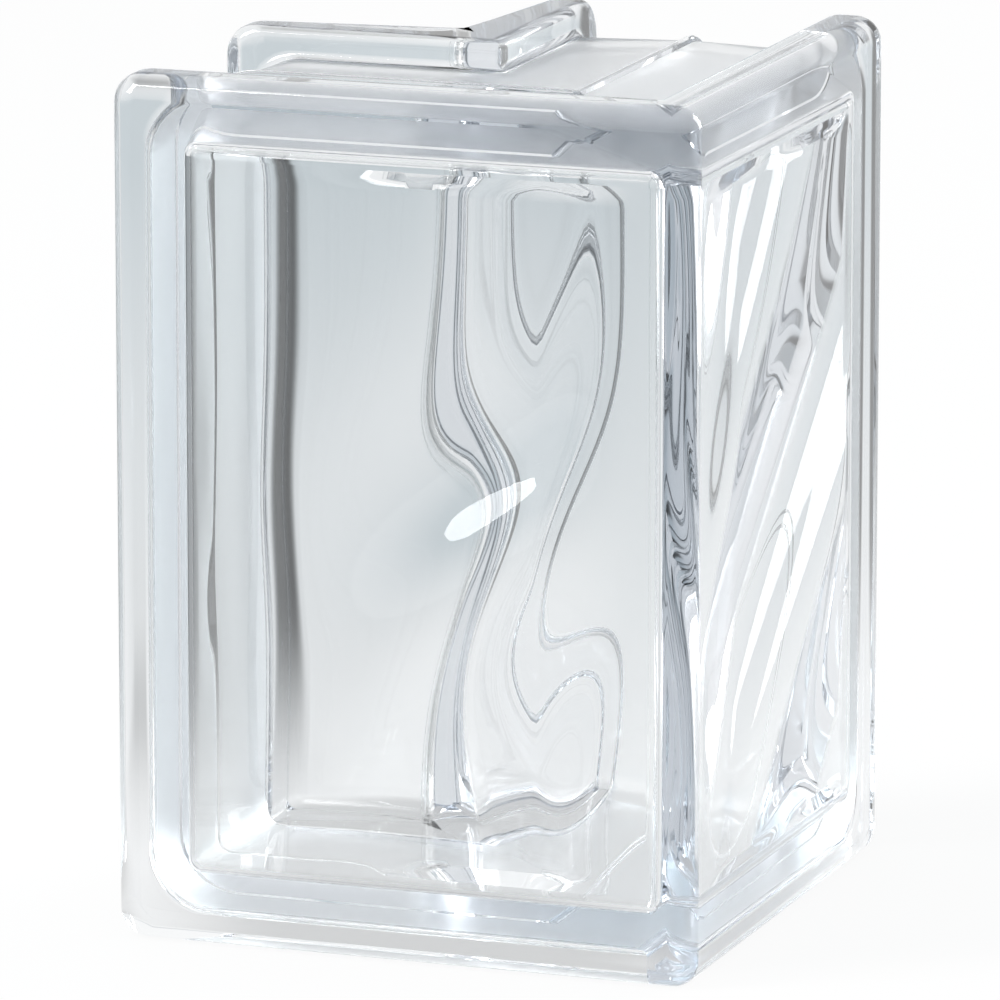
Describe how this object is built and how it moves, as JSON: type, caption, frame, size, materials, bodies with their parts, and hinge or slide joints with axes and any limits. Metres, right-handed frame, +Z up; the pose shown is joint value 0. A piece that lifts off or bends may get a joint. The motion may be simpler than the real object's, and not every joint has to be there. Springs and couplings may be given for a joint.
{
  "type": "corner glass block",
  "caption": "Hollow clear glass corner block, L-shaped in plan, with wavy inner faces, flanged edges and a mortar groove round its beds and ends.",
  "frame": {"origin": "centre of the block's box at its lower bed", "axes": "+Z up the block; the large outer faces look along -Y and +X, and the inner corner opens towards -X and +Y"},
  "size_m": [0.132, 0.132, 0.19],
  "materials": {
    "clear_glass": "clear, fire-polished"
  },
  "bodies": {
    "root": {"glass_block": "clear_glass"}
  },
  "joints": []
}
